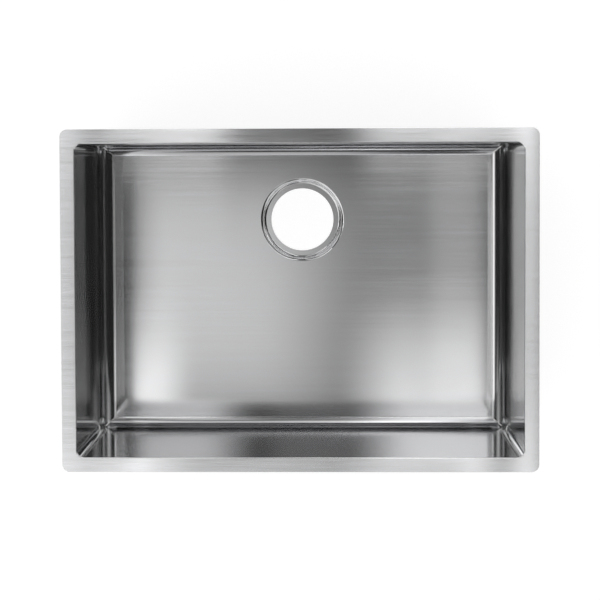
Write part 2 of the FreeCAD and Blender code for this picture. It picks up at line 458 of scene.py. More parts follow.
STEEL_FLOOR = EdgedSteel("steel_floor", Grain.ALONG, (0.6, 0.598, 0.595), (0.635, 0.64, 0.655),
                         roughness_spread=0.01, groove_depth=0.0008 * MM)
STEEL_WALL = BrushedSteel("steel_wall", Grain.ALONG,
                          roughness=0.126, anisotropy=0.67, groove_depth=0.0005 * MM)
# Painted shade: the end walls get a darker copy of the same steel, so they look shaded.
STEEL_END = BrushedSteel("steel_end", Grain.ACROSS, (0.55, 0.547, 0.54), (0.61, 0.613, 0.62),
                         roughness=0.126, anisotropy=0.67, groove_depth=0.0005 * MM)
STEEL_CORNER = BrushedSteel("steel_corner", Grain.UPRIGHT, (0.66, 0.66, 0.66), (0.75, 0.755, 0.77),
                            roughness=0.12, anisotropy=0.3, groove_depth=0.0006 * MM, bow_depth=0.05 * MM)
# Painted light: the flange gets a lighter copy of the same steel, so it looks more brightly lit; its rounded
# edges also carry the painted highlight.
STEEL_FLANGE = EdgedSteel("steel_flange", Grain.ALONG, (0.65, 0.65, 0.652), (0.82, 0.823, 0.84),
                          roughness=0.11, anisotropy=0.88, streak_length=0.06, streak_width=0.8 * MM,
                          groove_depth=0.003 * MM, bow_depth=0.05 * MM)
SEAM_STEEL = PlatedSteel("seam_steel", (0.66, 0.66, 0.65), (0.78, 0.78, 0.77), 0.16)
WELD_STEEL = PlatedSteel("weld_steel", (0.4, 0.395, 0.385), (0.6, 0.59, 0.56), 0.38)
CLIP_STEEL = PlatedSteel("clip_steel")
FIXING_STEEL = PlatedSteel("fixing_steel", (0.6, 0.595, 0.575), (0.74, 0.735, 0.71), 0.26)
RUBBER = MouldedRubber("pad_rubber")
COAT = SprayedCoat("undercoat")


def round_place(radius: float, height: float, share: float) -> Vector:
    """Gives the place on a level circle at a share of the way round, from 0 to 1."""
    angle = 2 * math.pi * share
    return Vector((radius * math.cos(angle), radius * math.sin(angle), height))


def show(name: str, data: bpy.types.ID) -> bpy.types.Object:
    """Puts a mesh or a camera in the scene.

    Args:
        name: The object's name.
        data: The mesh or the camera.

    Returns:
        The object.
    """
    made = bpy.data.objects.new(name, data)
    bpy.context.scene.collection.objects.link(made)
    return made


class Piece:
    """A shape under construction, which ends as one named object in the row frame."""

    def __init__(self, name: str) -> None:
        """Starts an empty shape that will be an object of this name."""
        self.name = name
        self.shape = bmesh.new()

    def added(self, before: set[bmesh.types.BMVert]) -> list[bmesh.types.BMVert]:
        """Lists the points that weren't there before."""
        return [vert for vert in self.shape.verts if vert not in before]

    def rings(self, count: int, places: list[Place], closed: bool = False, at: Matrix | None = None) -> None:
        """Lays a skin over rings of points, each extruded from the one before.

        Args:
            count: The points in a ring.
            places: For each ring, the place for a share of the way round, from 0 to 1.
            closed: Whether the last ring joins the first, as on a washer, or both ends are filled.
            at: Where the finished skin goes.
        """
        before = set(self.shape.verts)
        made = bmesh.ops.create_circle(self.shape, cap_ends=False, radius=1.0, segments=count)["verts"]
        first = sorted(made, key=lambda vert: math.atan2(vert.co.y, vert.co.x) % (2 * math.pi))
        ring = first
        for index, vert in enumerate(ring):
            vert.co = places[0](index / count)
        for place in places[1:]:
            edges = [self.shape.edges.get((ring[i], ring[(i + 1) % count])) for i in range(count)]
            grown = bmesh.ops.extrude_edge_only(self.shape, edges=edges)["geom"]
            fresh = {vert for vert in grown if isinstance(vert, bmesh.types.BMVert)}
            ring = [next(e.other_vert(v) for e in v.link_edges if e.other_vert(v) in fresh) for v in ring]
            for index, vert in enumerate(ring):
                vert.co = place(index / count)
        ends = [[self.shape.edges.get((end[i], end[(i + 1) % count])) for i in range(count)]
                for end in (first, ring)]
        if closed:
            bmesh.ops.bridge_loops(self.shape, edges=ends[0] + ends[1])
        else:
            for end in ends:
                bmesh.ops.contextual_create(self.shape, geom=end)
        if at is not None:
            bmesh.ops.transform(self.shape, matrix=at, verts=self.added(before))

    def turned(self, profile: list[tuple[float, float]], at: Matrix, closed: bool = False,
               segments: int = 40) -> None:
        """Adds a shape turned on the Z axis, from each ring's radius and height, and puts it in its place."""
        self.rings(segments, [partial(round_place, radius, height) for radius, height in profile], closed, at)

    def bar(self, low: Vector, high: Vector, corner: float, ease: float, at: Matrix,
            segments: int = 5) -> None:
        """Adds a bar whose upright corners are rounded and whose top edge is eased.

        Args:
            low: The lowest corner.
            high: The highest corner.
            corner: Radius of the upright corners.
            ease: Radius of the top edge.
            at: Where the bar goes.
            segments: Steps in each rounded corner.
        """
        before = set(self.shape.verts)
        made = bmesh.ops.create_cube(self.shape, size=1.0)["verts"]
        bmesh.ops.scale(self.shape, vec=high - low, verts=made)
        bmesh.ops.translate(self.shape, vec=(low + high) / 2, verts=made)
        faces = {face for vert in made for face in vert.link_faces}
        edges = {edge for face in faces for edge in face.edges}
        upright = [edge for edge in edges if abs(edge.verts[0].co.z - edge.verts[1].co.z) > SAME_PLACE]
        bmesh.ops.bevel(self.shape, geom=upright, offset=corner, offset_type="OFFSET", segments=segments,
                        profile=0.5, affect="EDGES", material=-1)
        top = {edge for vert in self.added(before) for edge in vert.link_edges
               if all(abs(end.co.z - high.z) < SAME_PLACE for end in edge.verts)}
        bmesh.ops.bevel(self.shape, geom=list(top), offset=ease, offset_type="OFFSET", segments=2,
                        profile=0.5, affect="EDGES", material=-1)
        bmesh.ops.transform(self.shape, matrix=at, verts=self.added(before))

    def finish(self, finish: Finish, slot: str, body: str, replaced: list[str],
               sharp_deg: float = 32.0) -> bpy.types.Object:
        """Makes the object, which stands for CAD nodes and moves with a body.

        Args:
            finish: The surface's finish.
            slot: Not used.
            body: The CAD body that the piece moves with.
            replaced: The CAD nodes that it stands for.
            sharp_deg: Edges that turn further than this stay crisp.

        Returns:
            The finished object.
        """
        bmesh.ops.remove_doubles(self.shape, verts=self.shape.verts, dist=SAME_PLACE)
        bmesh.ops.recalc_face_normals(self.shape, faces=self.shape.faces)
        for face in self.shape.faces:
            face.smooth = True
        for edge in self.shape.edges:
            edge.smooth = edge.calc_face_angle(0.0) < math.radians(sharp_deg)
        mesh = bpy.data.meshes.new(self.name)
        self.shape.to_mesh(mesh)
        self.shape.free()
        mesh.materials.append(finish.build())
        made = show(self.name, mesh)
        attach(made, body)
        if replaced:
            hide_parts(*replaced)
        stood_for = ", ".join(replaced) or "nothing"
        LOG.info("%s: %d faces, stands for %s", self.name, len(mesh.polygons), stood_for)
        return made


def dress(nodes: list[str], finish: Finish) -> None:
    """Gives CAD nodes a finish in place of their plain one.

    Args:
        nodes: The nodes' names.
        finish: The finish.
    """
    for name in nodes:
        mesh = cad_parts[name].data
        mesh.materials.clear()
        mesh.materials.append(finish.build())
    LOG.info("%s: on %s", finish.name, ", ".join(nodes))


@dataclass
class SoundPads:
    """The moulded rubber pads under the floor and on the walls, with raised ribs inside a plain border."""

    corner_radius: float = 8.0 * MM
    edge_ease: float = 0.8 * MM
    rib_height: float = 0.8 * MM
    rib_width: float = 6.0 * MM
    rib_pitch: float = 12.0 * MM
    border: float = 9.0 * MM
    rib_root: float = 0.3 * MM
    rib_corner_share: float = 0.42
    rib_ease_share: float = 0.6

    def build(self) -> None:
        """Builds every pad in its CAD node's place."""
        for node, outward in PAD_FACES.items():
            self.build_pad(node, Vector(outward))

    def build_pad(self, node: str, outward: Vector) -> None:
        """Builds one pad.

        Args:
            node: The CAD node that it stands for.
            outward: The way its ribbed face looks.
        """
        low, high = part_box(node)
        size, centre = high - low, (low + high) / 2
        along = Vector((0.0, 1.0, 0.0)) if abs(outward.x) > 0.5 else Vector((1.0, 0.0, 0.0))
        across = outward.cross(along)
        length, width, thickness = (abs(size.dot(axis)) for axis in (along, across, outward))
        base = centre - outward * thickness / 2
        at = Matrix.Translation(base) @ Matrix((along, across, outward)).transposed().to_4x4()
        sheet_top = thickness - self.rib_height
        pad = Piece(node + "_moulded")
        pad.bar(Vector((-length / 2, -width / 2, 0.0)), Vector((length / 2, width / 2, sheet_top)),
                self.corner_radius, self.edge_ease, at)
        count = int((length - 2 * self.border - self.rib_width) // self.rib_pitch) + 1
        start = -(count - 1) * self.rib_pitch / 2
        rib_half = width / 2 - self.border
        for index in range(count):
            middle = start + index * self.rib_pitch
            pad.bar(Vector((middle - self.rib_width / 2, -rib_half, sheet_top - self.rib_root)),
                    Vector((middle + self.rib_width / 2, rib_half, thickness)),
                    self.rib_width * self.rib_corner_share, self.rib_height * self.rib_ease_share, at,
                    segments=3)
        pad.finish(RUBBER, "pad_rubber", SINK_BODY, [node])


@dataclass
class ClipHardware:
    """The eight clips with their weld studs, washers and nuts."""

    clip_width: float = 15.0 * MM
    clip_reach: float = 34.0 * MM
    clip_ease: float = 0.35 * MM
    clip_points: int = 40
    clip_border_deg: float = 60.0
    hole_points: int = 32
    screw_hole_radius: float = 3.0 * MM
    pivot_hole_radius: float = 3.06 * MM
    sheet: float = 1.5 * MM
    base_radius: float = 5.0 * MM
    base_height: float = 1.2 * MM
    base_ease: float = 0.35 * MM
    base_ease_middle: float = 0.1 * MM
    shoulder_radius: float = 3.0 * MM
    thread_radius: float = 2.5 * MM
    thread_depth: float = 0.46 * MM
    thread_pitch: float = 0.8 * MM
    thread_crest: Triple = (0.38, 0.5, 0.88)
    thread_steps: int = 24
    thread_in_nut: float = 0.4 * MM
    thread_end_gap: float = 0.35 * MM
    tip_chamfer: float = 0.5 * MM
    nut_across_flats: float = 8.0 * MM
    nut_height: float = 4.0 * MM
    nut_face_share: float = 0.97
    nut_chamfer_deg: float = 30.0
    nut_bore_ease: float = 0.35 * MM
    nut_points: int = 72
    washer_radius: float = 6.0 * MM
    washer_thickness: float = 1.0 * MM
    washer_ease: float = 0.2 * MM
    washer_ease_middle: float = 0.06 * MM

    def pivot(self, node: str, station: Station) -> Vector:
        """Finds where a clip turns.

        Args:
            node: The clip's CAD node.
            station: The side of the flange it hangs from.

        Returns:
            The pivot, at the height of the clip's lower face.
        """
        low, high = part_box(node)
        way = Vector((*station.value, 0.0))
        middle = (low + high) / 2
        place = middle - way * self.clip_reach / 2
        return Vector((place.x, place.y, low.z))

    def build(self) -> None:
        """Builds every clip and the parts that hold it."""
        nuts_low, nuts_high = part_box("clip_nuts")
        stud_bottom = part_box("clip_studs")[0].z
        studs, washers = Piece("clip_studs_threaded"), Piece("clip_washers_stamped")
        nuts = Piece("clip_nuts_hexagon")
        for node, station in CLIPS.items():
            low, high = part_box(node)
            pivot = self.pivot(node, station)
            self.build_clip(node, pivot, Vector((*station.value, 0.0)), high.z - low.z)
            at = Matrix.Translation((pivot.x, pivot.y, 0.0))
            self.add_stud(studs, at, nuts_high.z + self.washer_thickness, nuts_low.z, stud_bottom)
            self.add_washer(washers, at, nuts_high.z)
            self.add_nut(nuts, at, nuts_low.z)
        studs.finish(FIXING_STEEL, "fixing_steel", SINK_BODY, ["clip_studs"])
        washers.finish(FIXING_STEEL, "fixing_steel", SINK_BODY, ["clip_washers"])
        nuts.finish(FIXING_STEEL, "fixing_steel", SINK_BODY, ["clip_nuts"])

    def build_clip(self, node: str, pivot: Vector, way: Vector, thickness: float) -> None:
        """Builds one clip: a stamped strap with a pivot hole, a screw hole and eased edges.

        Args:
            node: The CAD node that it stands for, which is also its body.
            pivot: The pivot at the strap's lower face.
            way: The way the strap points at rest.
            thickness: The strap's thickness.
        """
        clip = Piece(node + "_stamped")
        shape, reach = clip.shape, (self.clip_reach, 0.0, 0.0)
        outline = bmesh.ops.create_circle(shape, radius=self.clip_width / 2,
                                          segments=self.clip_points)["verts"]
        bmesh.ops.rotate(shape, verts=outline, matrix=Matrix.Rotation(math.pi / self.clip_points, 3, "Z"))
        bmesh.ops.translate(shape, verts=[vert for vert in outline if vert.co.x > 0.0], vec=reach)
        bmesh.ops.create_circle(shape, radius=self.pivot_hole_radius, segments=self.hole_points)
        hole = bmesh.ops.create_circle(shape, radius=self.screw_hole_radius,
                                       segments=self.hole_points)["verts"]
        bmesh.ops.translate(shape, verts=hole, vec=reach)
        bmesh.ops.triangle_fill(shape, use_beauty=True, edges=shape.edges)
        flat = bmesh.ops.extrude_face_region(shape, geom=list(shape.faces))["geom"]
        lifted = [part for part in flat if isinstance(part, bmesh.types.BMVert)]
        bmesh.ops.translate(shape, verts=lifted, vec=(0.0, 0.0, thickness))
        bmesh.ops.recalc_face_normals(shape, faces=shape.faces)
        border_turn = math.radians(self.clip_border_deg)
        borders = [edge for edge in shape.edges if edge.calc_face_angle(0.0) > border_turn]
        bmesh.ops.bevel(shape, geom=borders, offset=self.clip_ease, offset_type="OFFSET", segments=2,
                        profile=0.5, affect="EDGES", material=-1)
        turn = Matrix.Rotation(math.atan2(way.y, way.x), 4, "Z")
        bmesh.ops.transform(shape, matrix=Matrix.Translation(pivot) @ turn, verts=shape.verts)
        clip.finish(CLIP_STEEL, "clip_steel", node, [node])

    def add_stud(self, piece: Piece, at: Matrix, shoulder_bottom: float, nut_bottom: float,
                 bottom: float) -> None:
        """Adds one weld stud: base with its weld's fillet, plain shoulder, core and rolled thread.

        Args:
            piece: The piece that it's added to.
            at: The stud's axis.
            shoulder_bottom: Height of the shoulder's lower face.
            nut_bottom: Height of the nut's lower face.
            bottom: Height of the stud's tip.
        """
        top, base_bottom = -self.sheet, -self.sheet - self.base_height
        root = self.thread_radius - self.thread_depth
        piece.turned([
            (self.base_radius, top),
            (self.base_radius, base_bottom + self.base_ease),
            (self.base_radius - self.base_ease_middle, base_bottom + self.base_ease_middle),
            (self.base_radius - self.base_ease, base_bottom),
            (self.shoulder_radius, base_bottom),
            (self.shoulder_radius, shoulder_bottom),
            (root, shoulder_bottom),
            (root, bottom + self.tip_chamfer),
            (root - self.tip_chamfer, bottom),
        ], at)
        pitch, crest = self.thread_pitch, root + self.thread_depth
        start = nut_bottom + self.thread_in_nut
        steps = round((start - bottom - self.thread_end_gap - pitch) / pitch * self.thread_steps)
        rise, level, fall = (share * pitch for share in self.thread_crest)
        section = ((root, 0.0), (crest, rise), (crest, level), (root, fall))
        shape, before = piece.shape, set(piece.shape.verts)
        verts = [bmesh.ops.create_vert(shape, co=(radius, 0.0, start - drop))["vert"][0]
                 for radius, drop in section]
        edges = [bmesh.ops.contextual_create(shape, geom=pair)["edges"][0] for pair in zip(verts, verts[1:])]
        bmesh.ops.spin(shape, geom=verts + edges, axis=(0.0, 0.0, 1.0),
                       dvec=(0.0, 0.0, -pitch / self.thread_steps),
                       angle=2 * math.pi * steps / self.thread_steps, steps=steps)
        bmesh.ops.transform(shape, matrix=at, verts=piece.added(before))

    def add_washer(self, piece: Piece, at: Matrix, bottom: float) -> None:
        """Adds one washer with a rolled outer edge.

        Args:
            piece: The piece that it's added to.
            at: The washer's axis.
            bottom: Height of its lower face.
        """
        outer, inner = self.washer_radius, self.thread_radius
        ease, middle, top = self.washer_ease, self.washer_ease_middle, bottom + self.washer_thickness
        piece.turned([
            (inner, top), (outer - ease, top), (outer - middle, top - middle), (outer, top - ease),
            (outer, bottom + ease), (outer - middle, bottom + middle), (outer - ease, bottom),
            (inner, bottom),
        ], at, closed=True)

    def add_nut(self, piece: Piece, at: Matrix, bottom: float) -> None:
        """Adds one hexagon nut whose corners are turned down at both faces.

        Args:
            piece: The piece that it's added to.
            at: The nut's axis.
            bottom: Height of its lower face.
        """
        top, bore, ease = bottom + self.nut_height, self.thread_radius, self.nut_bore_ease
        face_radius = self.nut_across_flats / 2 * self.nut_face_share
        piece.rings(self.nut_points, [
            partial(round_place, bore, top), partial(round_place, face_radius, top),
            partial(self.nut_place, top, 1.0), partial(self.nut_place, bottom, -1.0),
            partial(round_place, face_radius, bottom), partial(round_place, bore + ease, bottom),
            partial(round_place, bore, bottom + ease),
        ], closed=True, at=at)

    def nut_place(self, height: float, turned_down: float, share: float) -> Vector:
        """Gives a place on a nut's hexagon, dropped where its corner is turned down.

        Args:
            height: The face's height.
            turned_down: 1 on the upper face and -1 on the lower one.
            share: The share of the way round, from 0 to 1.

        Returns:
            The place.
        """
        angle, half_flats = 2 * math.pi * share, self.nut_across_flats / 2
        radius = half_flats / math.cos(angle % (math.pi / 3) - math.pi / 6)
        corner = max(0.0, radius - half_flats * self.nut_face_share)
        drop = corner * math.tan(math.radians(self.nut_chamfer_deg))
        return Vector((radius * math.cos(angle), radius * math.sin(angle), height - turned_down * drop))


@dataclass
class FlangeWeld:
    """The rippled bead of weld in the corner between the flange and the bowl, seen from below."""

    leg: float = 1.6 * MM
    corner_radius: float = 11.5 * MM
    ripple: float = 0.14 * MM
    ripple_pitch: float = 2.3 * MM
    wander: float = 0.6
    wander_rate: float = 173.0
    section: tuple[tuple[float, float], ...] = (
        (-0.2, -0.1), (1.0, -0.1), (0.62, 0.3), (0.3, 0.62), (-0.2, 1.0),
    )
    points: int = 2400

    def build(self) -> None:
        """Builds the bead round the bowl."""
        low = Vector(map(min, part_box("left_end")[0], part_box("front_wall")[0]))
        high = Vector(map(max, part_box("right_end")[1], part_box("rear_wall")[1]))
        half = Vector(((high.x - low.x) / 2, (high.y - low.y) / 2))
        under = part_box("rim_flange")[0].z

        bead = Piece("flange_weld")
        bead.rings(self.points, [partial(self.bead_place, half, under, *shares) for shares in self.section],
                   closed=True)
        bead.finish(WELD_STEEL, "bowl_steel", SINK_BODY, [])

    def bead_place(self, half: Vector, under: float, out_share: float, down_share: float,
                   share: float) -> Vector:
        """Gives a place on the bead, whose leg ripples along its length.

        Args:
            half: Half the bowl's outside length and width.
            under: Height of the flange's lower face.
            out_share: How much of the leg the place lies out from the bowl.
            down_share: How much of the leg it lies below the flange.
            share: The share of the way round, from 0 to 1.

        Returns:
            The place.
        """
        point, normal, run = self.outline(share, half)
        wave = math.sin(run * 2 * math.pi / self.ripple_pitch)
        wave += self.wander * math.sin(run * self.wander_rate)
        leg = self.leg + self.ripple * wave
        spot = point + normal * (leg * out_share)
        return Vector((spot.x, spot.y, under - leg * down_share))

    def outline(self, share: float, half: Vector) -> tuple[Vector, Vector, float]:
        """Walks round the bowl's outside.

        Args:
            share: The share of the way round, from 0 to 1.
            half: Half the bowl's outside length and width.

        Returns:
            The point, the outward direction and the distance walked.
        """
        radius = self.corner_radius
        straight = [2 * (half.y - radius), 2 * (half.x - radius)] * 2
        arc = math.pi * radius / 2
        run = share * (sum(straight) + 4 * arc)
        left = run
        for side in range(4):
            angle = side * math.pi / 2
            out = Vector((math.cos(angle), math.sin(angle)))
            way = Vector((-out.y, out.x))
            reach = half.x if side % 2 == 0 else half.y
            if left <= straight[side]:
                return out * reach + way * (left - straight[side] / 2), out, run
            left -= straight[side]
            if left <= arc or side == 3:
                centre = out * (reach - radius) + way * (straight[side] / 2)
                turn = angle + left / radius
                normal = Vector((math.cos(turn), math.sin(turn)))
                return centre + normal * radius, normal, run
            left -= arc
        raise ValueError("share lies outside 0 to 1")


@dataclass
class CornerSeams:
    """The fine ridges left where the walls, the corner strips and the coves are welded and polished."""

    sheet: float = 1.5 * MM
    corner_radius: float = 10.0 * MM
    width: float = 1.4 * MM
    height: float = 0.3 * MM
    mitre_width: float = 2.4 * MM
    mitre_height: float = 0.5 * MM
    mitre_rise: float = 7.8 * MM
    mitre_steps: int = 12
    end_share: float = 0.7
    root: float = 0.4 * MM
    taper: float = 5.0 * MM
    tip_share: float = 0.12
    step: float = 2.0 * MM
    fewest_steps: int = 6
    points: int = 12

    def __post_init__(self) -> None:
        """Reads where the flat floor's corner and, at the flange, the walls' inner corner are."""
        self.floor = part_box("floor_pan")[1]
        outer_x, outer_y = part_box("right_end")[1].x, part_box("rear_wall")[1].y
        self.wall = Vector((outer_x - self.sheet, outer_y - self.sheet, -self.sheet))

    def build(self) -> None:
        """Builds the seams of all four corners as one piece."""
        piece = Piece("corner_seams")
        for side in (Vector((x, y, 1.0)) for x in (-1.0, 1.0) for y in (-1.0, 1.0)):
            for width, height, path in (
                (self.width, self.height, self.end_seam()),
                (self.width, self.height, self.wall_seam()),
                (self.mitre_width, self.mitre_height, self.mitre()),
            ):
                self.sweep(piece, [(point * side, normal * side) for point, normal in path], width, height)
        piece.finish(SEAM_STEEL, "bowl_steel", SINK_BODY, [])

    def cove(self, radius: float, rise: float) -> tuple[float, float]:
        """Gives how far a cove reaches out at a height over the floor, and its normal's upward part there."""
        down = max(0.0, radius - rise)
        return math.sqrt(max(0.0, radius ** 2 - down ** 2)), down / radius

    def heights(self, high: float, low: float) -> list[float]:
        """Spaces heights evenly from a high one to a low one."""
        count = max(self.fewest_steps, round((high - low) / self.step))
        return [high + (low - high) * index / count for index in range(count + 1)]

    def end_seam(self) -> list[tuple[Vector, Vector]]:
        """Follows the seam between an end wall and a corner strip, and a little way onto the end's cove.

        Returns:
            The points with the surface's normals.
        """
        radius, path = self.wall.x - self.floor.x, []
        for z in self.heights(self.wall.z, self.floor.z + radius * self.end_share):
            out, up = self.cove(radius, z - self.floor.z)
            normal = Vector((-math.sqrt(1.0 - up ** 2), 0.0, up))
            path.append((Vector((self.floor.x + out, self.wall.y - self.corner_radius, z)), normal))
        return path

    def wall_seam(self) -> list[tuple[Vector, Vector]]:
        """Follows the seam between a long wall and a corner strip, on along the wall's cove to the mitre.

        Returns:
            The points with the surface's normals.
        """
        radius, end_radius = self.wall.y - self.floor.y, self.wall.x - self.floor.x
        reach = end_radius - self.corner_radius
        meeting = end_radius - math.sqrt(end_radius ** 2 - reach ** 2)
        cove_top, path = self.floor.z + radius, []
        for z in self.heights(self.wall.z, cove_top) + self.heights(cove_top, self.floor.z + meeting)[1:]:
            out, up = self.cove(radius, z - self.floor.z)
            normal = Vector((0.0, -math.sqrt(1.0 - up ** 2), up))
            path.append((Vector((self.wall.x - self.corner_radius, self.floor.y + out, z)), normal))
        return path

    def mitre(self) -> list[tuple[Vector, Vector]]:
        """Follows the mitre in which an end's cove and a wall's cove meet.

        Returns:
            The points with the normals halfway between both coves.
        """
        path, low = [], self.floor
        for index in range(self.mitre_steps + 1):
            rise = self.mitre_rise * (index / self.mitre_steps) ** 2
            out_x, up_x = self.cove(self.wall.x - low.x, rise)
            out_y, up_y = self.cove(self.wall.y - low.y, rise)
            normal = Vector((-math.sqrt(1.0 - up_x ** 2), -math.sqrt(1.0 - up_y ** 2), up_x + up_y))
            path.append((Vector((low.x + out_x, low.y + out_y, low.z + rise)), normal.normalized()))
        return path

    def sweep(self, piece: Piece, path: list[tuple[Vector, Vector]], width: float, height: float) -> None:
        """Adds one ridge along a path, tapered at both ends.

        Args:
            piece: The piece that it's added to.
            path: The points with the surface's normals.
            width: The ridge's width.
            height: The ridge's height over the surface.
        """
        runs = [0.0]
        for (before, _), (after, _) in zip(path, path[1:]):
            runs.append(runs[-1] + (after - before).length)
        rings = []
        for index, (point, normal) in enumerate(path):
            ahead = path[min(index + 1, len(path) - 1)][0] - path[max(index - 1, 0)][0]
            across = ahead.cross(normal).normalized()
            to_end = min(runs[index], runs[-1] - runs[index])
            size = max(self.tip_share, min(1.0, to_end / self.taper))
            rings.append(partial(self.ridge_place, point, across, normal, width * size, height * size))
        piece.rings(self.points, rings)

    def ridge_place(self, point: Vector, across: Vector, normal: Vector, width: float, height: float,
                    share: float) -> Vector:
        """Gives a place on a ridge's section, whose lower half is sunk in the surface.

        Args:
            point: The middle of the section.
            across: The direction across the ridge.
            normal: The surface's normal.
            width: The section's width.
            height: Its height over the surface.
            share: The share of the way round, from 0 to 1.

        Returns:
            The place.
        """
        angle = 2 * math.pi * share
        lift = math.sin(angle) * (height if angle < math.pi else self.root)
        return point + across * (math.cos(angle) * width / 2) + normal * lift


@dataclass(frozen=True)
class SoftLamp:
    """A bright field of the far sky, placed by how far its directions lean from upright along X and Y."""

    name: str
    along_x: Ends
    along_y: Ends
    level: float


@dataclass
class Studio:
    """A pale floor, a far sky with soft lamps in it and the camera."""

    floor_size: float = 30.0
    floor_colour: float = 0.4
    floor_glow: float = 0.8
    camera_place: Triple = (0.0417, 0.1838, 1.9374)
    camera_turn_deg: Triple = (-1.874, 1.188, -0.221)
    camera_lens_mm: float = 87.93
    camera_sensor_mm: float = 36.0
    camera_shift: tuple[float, float] = (0.0, -0.15)
    room_light: float = 0.4
    key_light: float = 0.5
    key_direction: Triple = (-0.4, -0.5, 0.77)
    sky_tone: float = 0.025
    sky_fade: tuple[float, float] = (0.55, 0.8)
    flag_foot: tuple[float, float] = (0.08, 0.2)
    side_flags_along: Ends = (-0.4, -0.27, 0.1, 0.22)
    side_flags_out: tuple[float, float] = (0.15, 0.4)
    front_flag_across: Ends = (-0.4, -0.28, 0.22, 0.35)
    front_flag_out: tuple[float, float] = (-0.4, -0.2)
    lowest_rise: float = 0.02
    lamp_light: float = 0.8
    lamps: tuple[SoftLamp, ...] = (
        SoftLamp("wide", (-0.136, -0.13, 0.09, 0.12), (-0.32, -0.27, -0.01, 0.02), 0.28),
        SoftLamp("main", (-0.145, -0.112, -0.06, 0.045), (-0.19, -0.14, -0.03, 0.0), 0.82),
        SoftLamp("left_edge", (-0.137, -0.135, -0.132, -0.09), (-0.21, -0.19, -0.165, -0.105), 1.8),
        SoftLamp("front_right", (0.0, 0.05, 0.1, 0.115), (-0.24, -0.2, -0.14, -0.09), 1.25),
        SoftLamp("right_band", (0.06, 0.08, 0.095, 0.112), (-0.19, -0.14, -0.01, 0.01), 0.22),
        SoftLamp("front", (-2.0, -1.0, -0.02, 0.1), (-1.2, -0.6, -0.24, -0.19), 0.8),
        SoftLamp("left", (-0.3, -0.22, -0.177, -0.16), (-2.5, -1.5, 0.9, 1.6), 0.9),
        SoftLamp("left_rear", (-0.32, -0.25, -0.17, -0.155), (0.04, 0.09, 0.3, 0.4), 1.0),
        SoftLamp("left_far", (-0.6, -0.42, -0.24, -0.19), (-0.3, -0.2, 0.1, 0.2), 1.8),
        SoftLamp("rear_flange_left", (-0.165, -0.15, -0.085, -0.06), (0.028, 0.04, 0.09, 0.13), 2.9),
        SoftLamp("rear_flange_right", (0.01, 0.035, 0.12, 0.15), (0.028, 0.04, 0.09, 0.13), 2.7),
        SoftLamp("rear_left", (-0.136, -0.13, -0.09, -0.045), (0.1, 0.16, 0.5, 0.9), 1.1),
        SoftLamp("rear_right", (0.01, 0.06, 0.1, 0.15), (0.1, 0.16, 3.0, 6.0), 1.7),
        SoftLamp("rear_middle", (-0.06, -0.03, 0.0, 0.04), (0.1, 0.16, 3.0, 6.0), 0.28),
        SoftLamp("right_strip", (0.126, 0.13, 0.141, 0.143), (-1.2, -0.8, 0.4, 0.6), 1.55),
        SoftLamp("front_gap", (-0.17, -0.16, -0.136, -0.125), (-0.4, -0.3, -0.2, -0.18), 1.2),
        SoftLamp("front_corner", (0.08, 0.1, 0.141, 0.143), (-0.3, -0.26, -0.2, -0.185), 0.9),
        SoftLamp("right_edge", (0.15, 0.16, 0.18, 0.22), (-0.3, -0.22, -0.16, -0.1), 0.5),
    )

    def build(self, floor_height: float) -> None:
        """Builds the whole studio.

        Args:
            floor_height: The floor's height, which is the object's lowest point.
        """
        self.build_floor(floor_height)
        self.build_sky()
        self.build_camera()

    def seen(self, board: NodeBoard) -> Socket:
        """Tells what the camera sees, also in metal and through glass, from what lights the object.

        Args:
            board: The floor's nodes.

        Returns:
            1 for what is seen and 0 for what lights.
        """
        path = board.add("ShaderNodeLightPath")
        straight = board.math("MAXIMUM", path.outputs["Is Camera Ray"], path.outputs["Is Transmission Ray"])
        return board.math("MAXIMUM", straight, path.outputs["Is Glossy Ray"])

    def build_floor(self, height: float) -> None:
        """Lays the pale floor.

        Args:
            height: The floor's height.
        """
        mesh = bpy.data.meshes.new("floor")
        plane = bmesh.new()
        bmesh.ops.create_grid(plane, x_segments=1, y_segments=1, size=self.floor_size / 2)
        bmesh.ops.translate(plane, verts=plane.verts, vec=(0.0, 0.0, height))
        plane.to_mesh(mesh)
        plane.free()
        show("floor", mesh)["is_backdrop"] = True
        material = bpy.data.materials.new("floor")
        material.use_nodes = True
        mesh.materials.append(material)
        board = NodeBoard(material.node_tree)
        output = board.add("ShaderNodeOutputMaterial")
        matt = board.add("ShaderNodeBsdfDiffuse")
        matt.inputs["Color"].default_value = (self.floor_colour,) * 3 + (1.0,)
        glow = board.add("ShaderNodeEmission")
        board.join(board.math("MULTIPLY", self.seen(board), self.floor_glow), glow.inputs["Strength"])
        both = board.add("ShaderNodeAddShader")
        board.join(matt.outputs[0], both.inputs[0])
        board.join(glow.outputs[0], both.inputs[1])
        board.join(both.outputs[0], output.inputs["Surface"])

    def field(self, board: NodeBoard, place: Socket, ends: Ends) -> Socket:
        """Gives 1 inside a field and 0 outside, with soft edges.

        Args:
            board: The sky's nodes.
            place: The coordinate across the field.
            ends: Where it starts to brighten, is bright, starts to fade and is dark again.

        Returns:
            The share of the field's light.
        """
        shares = []
        for start, end in (ends[:2], ends[2:]):
            edge = board.add("ShaderNodeMapRange", interpolation_type="SMOOTHSTEP")
            edge.inputs["From Min"].default_value, edge.inputs["From Max"].default_value = start, end
            board.join(place, edge.inputs["Value"])
            shares.append(edge.outputs["Result"])
        return board.math("SUBTRACT", *shares)

